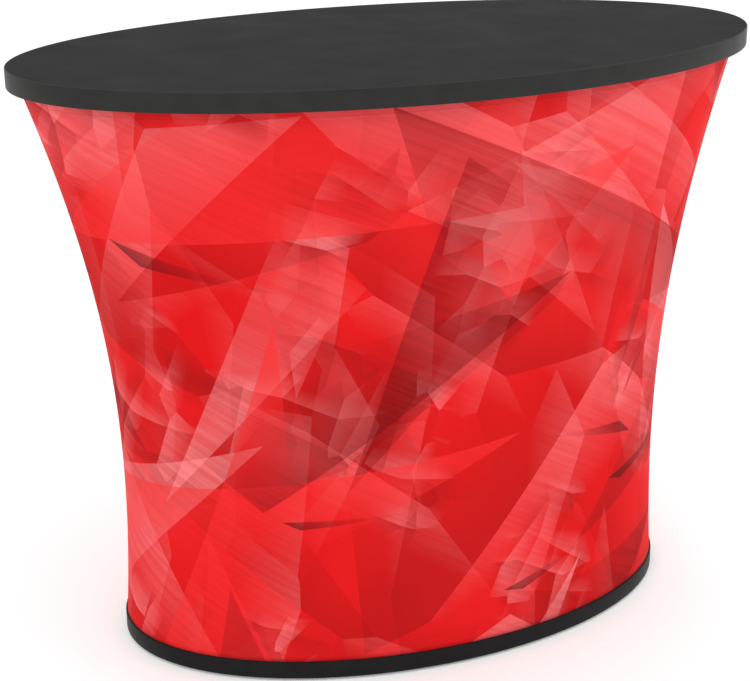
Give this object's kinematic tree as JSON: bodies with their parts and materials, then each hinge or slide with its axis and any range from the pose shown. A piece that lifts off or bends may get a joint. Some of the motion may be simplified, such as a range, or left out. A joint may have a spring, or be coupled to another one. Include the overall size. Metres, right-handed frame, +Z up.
{
  "type": "exhibition counter",
  "caption": "Oval counter for exhibition stands: stretched printed fabric between a black oval base and a wider charcoal top, on posts, with a shelf and a zip behind.",
  "frame": {"origin": "on the floor under the middle of the counter", "axes": "+X along the long way of the oval, +Y to the staff side with the zip, +Z up"},
  "size_m": [1.27, 0.7, 1],
  "materials": {
    "charcoal_laminate": "fibreboard faced with satin charcoal high-pressure laminate",
    "charcoal_edging": "charcoal ABS edging, slightly satin",
    "black_laminate": "fibreboard faced with satin black laminate",
    "black_edging": "black ABS edging",
    "printed_polyester": "knitted stretch polyester, dye-sublimation print in overlapping reds and pinks",
    "birch_plywood": "clear-sealed birch plywood",
    "hook_tape": "black woven hook tape",
    "satin_aluminium": "satin anodised tube",
    "plated_steel": "bright nickel-plated steel",
    "spring_steel": "rolled spring steel strip",
    "black_nylon": "moulded black nylon",
    "zip_tape": "woven black polyester zip tape",
    "black_rubber": "moulded rubber glide"
  },
  "bodies": {
    "frame": {"base_panel": "black_laminate", "base_edge_band": "black_edging", "lower_ring": "birch_plywood", "upper_ring": "birch_plywood", "lower_hook_tape": "hook_tape", "upper_hook_tape": "hook_tape", "glide_front_left": "black_rubber", "glide_rear_left": "black_rubber", "glide_front_right": "black_rubber", "glide_rear_right": "black_rubber", "floor_socket_front_left": "black_nylon", "head_socket_front_left": "black_nylon", "lower_post_front_left": "satin_aluminium", "upper_post_front_left": "satin_aluminium", "post_coupler_front_left": "plated_steel", "spring_strip_front_left": "spring_steel", "floor_socket_rear_left": "black_nylon", "head_socket_rear_left": "black_nylon", "lower_post_rear_left": "satin_aluminium", "upper_post_rear_left": "satin_aluminium", "post_coupler_rear_left": "plated_steel", "spring_strip_rear_left": "spring_steel", "floor_socket_front_right": "black_nylon", "head_socket_front_right": "black_nylon", "lower_post_front_right": "satin_aluminium", "upper_post_front_right": "satin_aluminium", "post_coupler_front_right": "plated_steel", "spring_strip_front_right": "spring_steel", "floor_socket_rear_right": "black_nylon", "head_socket_rear_right": "black_nylon", "lower_post_rear_right": "satin_aluminium", "upper_post_rear_right": "satin_aluminium", "post_coupler_rear_right": "plated_steel", "spring_strip_rear_right": "spring_steel", "fabric_sleeve": "printed_polyester", "zip_tape_left": "zip_tape", "zip_tape_right": "zip_tape", "zip_teeth": "black_nylon", "zip_bottom_stop": "plated_steel", "zip_top_stop": "plated_steel"},
    "tabletop": {"tabletop_panel": "charcoal_laminate", "tabletop_edge_band": "charcoal_edging", "locating_peg_left": "black_nylon", "locating_peg_right": "black_nylon"},
    "shelf": {"shelf_panel": "black_laminate", "shelf_edge_band": "black_edging", "shelf_collar_front_left": "black_nylon", "shelf_collar_rear_left": "black_nylon", "shelf_collar_front_right": "black_nylon", "shelf_collar_rear_right": "black_nylon"},
    "thumbscrew_front_left": {"thumbscrew_front_left": "black_nylon"},
    "thumbscrew_rear_left": {"thumbscrew_rear_left": "black_nylon"},
    "thumbscrew_front_right": {"thumbscrew_front_right": "black_nylon"},
    "thumbscrew_rear_right": {"thumbscrew_rear_right": "black_nylon"},
    "snap_button_front_left": {"snap_button_front_left": "plated_steel"},
    "snap_button_rear_left": {"snap_button_rear_left": "plated_steel"},
    "snap_button_front_right": {"snap_button_front_right": "plated_steel"},
    "snap_button_rear_right": {"snap_button_rear_right": "plated_steel"},
    "zip_slider": {"zip_slider": "plated_steel"},
    "zip_pull": {"zip_pull": "plated_steel"}
  },
  "joints": [
    {"name": "tabletop_lift", "type": "slide", "parent": "frame", "child": "tabletop", "axis": [0, 0, 1], "range_m": [0, 0.12]},
    {"name": "shelf_height", "type": "slide", "parent": "frame", "child": "shelf", "axis": [0, 0, 1], "range_m": [-0.05, 0.2]},
    {"name": "thumbscrew_turn_front_left", "type": "hinge", "parent": "shelf", "child": "thumbscrew_front_left", "pos_m": [-0.264, -0.14, 0.5687], "axis": [1, 0, 0], "range_deg": [0, 720]},
    {"name": "thumbscrew_turn_rear_left", "type": "hinge", "parent": "shelf", "child": "thumbscrew_rear_left", "pos_m": [-0.264, 0.14, 0.5687], "axis": [1, 0, 0], "range_deg": [0, 720]},
    {"name": "thumbscrew_turn_front_right", "type": "hinge", "parent": "shelf", "child": "thumbscrew_front_right", "pos_m": [0.264, -0.14, 0.5687], "axis": [-1, 0, 0], "range_deg": [0, 720]},
    {"name": "thumbscrew_turn_rear_right", "type": "hinge", "parent": "shelf", "child": "thumbscrew_rear_right", "pos_m": [0.264, 0.14, 0.5687], "axis": [-1, 0, 0], "range_deg": [0, 720]},
    {"name": "snap_button_press_front_left", "type": "slide", "parent": "frame", "child": "snap_button_front_left", "axis": [1, 0, 0], "range_m": [0, 0.0055], "stiffness_N_per_m": 1000, "springref_m": -0.003, "deforming": ["spring_strip_front_left"]},
    {"name": "snap_button_press_rear_left", "type": "slide", "parent": "frame", "child": "snap_button_rear_left", "axis": [1, 0, 0], "range_m": [0, 0.0055], "stiffness_N_per_m": 1000, "springref_m": -0.003, "deforming": ["spring_strip_rear_left"]},
    {"name": "snap_button_press_front_right", "type": "slide", "parent": "frame", "child": "snap_button_front_right", "axis": [-1, 0, 0], "range_m": [0, 0.0055], "stiffness_N_per_m": 1000, "springref_m": -0.003, "deforming": ["spring_strip_front_right"]},
    {"name": "snap_button_press_rear_right", "type": "slide", "parent": "frame", "child": "snap_button_rear_right", "axis": [-1, 0, 0], "range_m": [0, 0.0055], "stiffness_N_per_m": 1000, "springref_m": -0.003, "deforming": ["spring_strip_rear_right"]},
    {"name": "zip_run", "type": "slide", "parent": "frame", "child": "zip_slider", "axis": [0, -0.0214, -0.9998], "range_m": [0, 0.78]},
    {"name": "zip_pull_swing", "type": "hinge", "parent": "zip_slider", "child": "zip_pull", "pos_m": [0, 0.32185, 0.91457], "axis": [1, 0, 0], "range_deg": [-6, 150]}
  ]
}
